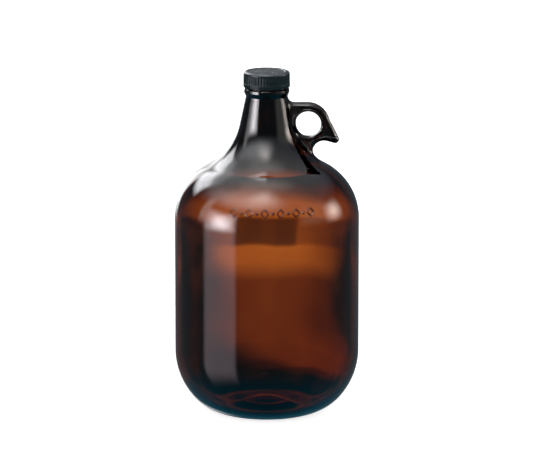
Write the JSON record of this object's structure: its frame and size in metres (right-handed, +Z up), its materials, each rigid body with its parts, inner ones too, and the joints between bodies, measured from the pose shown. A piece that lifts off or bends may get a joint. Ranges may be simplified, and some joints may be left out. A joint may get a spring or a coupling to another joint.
{
  "type": "growler",
  "caption": "Amber glass growler jug with a rounded shoulder and heel, a ring handle with a thumb spur at the neck, and a ribbed screw cap with a sealing liner.",
  "frame": {"origin": "on the jug's axis, at the plane that its bearing ring stands on", "axes": "+Z up along the jug's axis, through the mouth; +X from the axis towards the handle; -Y is the front"},
  "size_m": [0.163, 0.163, 0.3048],
  "materials": {
    "amber_glass": "clear amber glass, fire polished, with fine mould seams",
    "cap_plastic": "satin moulded black plastic, ribbed side, fine texture on top",
    "liner_foam": "white closed-cell foam sheet"
  },
  "bodies": {
    "jug": {"glass_jug": "amber_glass"},
    "lift": {"liner": "liner_foam"},
    "cap": {"screw_cap": "cap_plastic"}
  },
  "joints": [
    {"name": "cap_lift", "type": "slide", "parent": "jug", "child": "lift", "axis": [0, 0, 1], "range_m": [0, 0.0128]},
    {"name": "cap_turn", "type": "hinge", "parent": "lift", "child": "cap", "pos_m": [0, 0, 0.2912], "axis": [0, 0, 1], "range_deg": [0, 1080]}
  ],
  "couplings": [
    {"joint": "cap_lift", "follows": "cap_turn", "m_per_rad": 0.00067376}
  ]
}
